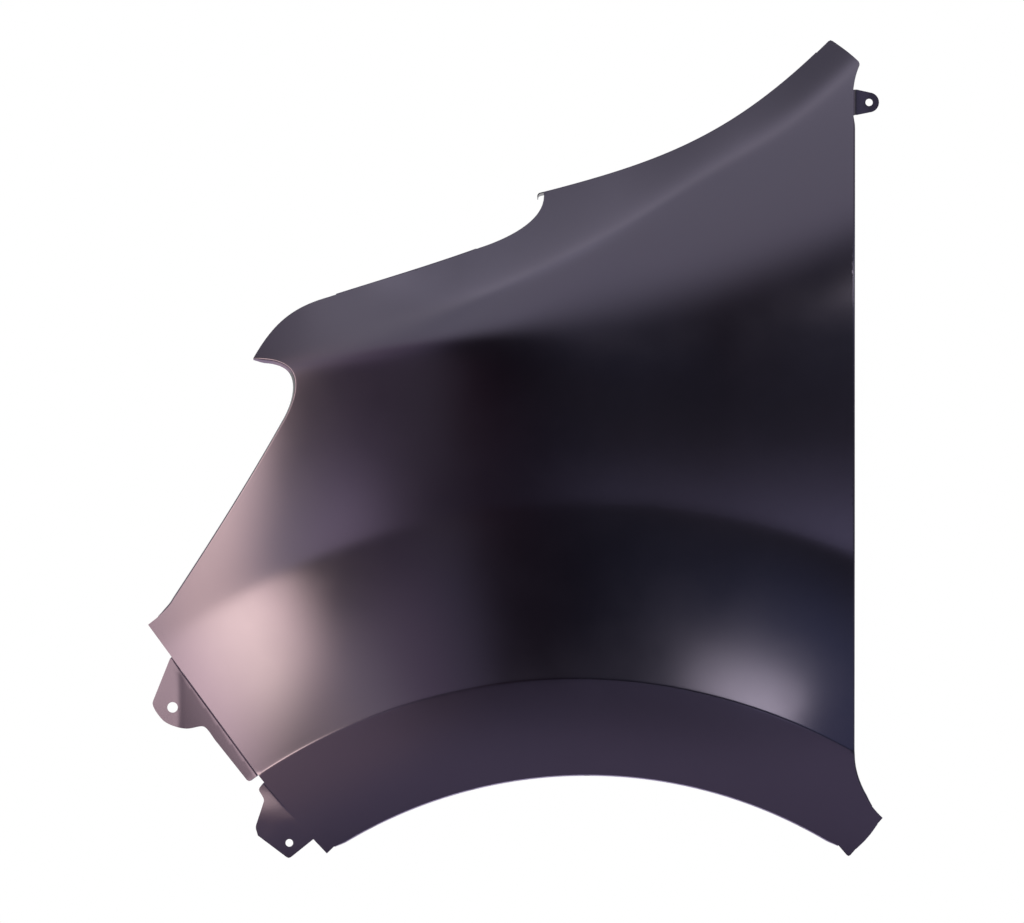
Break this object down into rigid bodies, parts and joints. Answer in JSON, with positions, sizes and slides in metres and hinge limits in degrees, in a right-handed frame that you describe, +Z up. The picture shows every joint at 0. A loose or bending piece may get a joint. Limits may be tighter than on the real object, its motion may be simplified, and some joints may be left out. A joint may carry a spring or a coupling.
{
  "type": "car fender",
  "caption": "Left front fender panel of a van: one thin steel pressing with a flared wheel arch, turned flanges, bumper tabs and a pillar ear.",
  "frame": {"origin": "inboard face of the ear at the upper rear corner, between its root and its hole", "axes": "+X towards the rear of the vehicle, +Y inboard, +Z up; the outside of the panel faces -Y"},
  "size_m": [0.6355, 0.198, 0.7069],
  "materials": {
    "satin_black_primer": "satin"
  },
  "bodies": {
    "root": {"fender_panel": "satin_black_primer"}
  },
  "joints": []
}
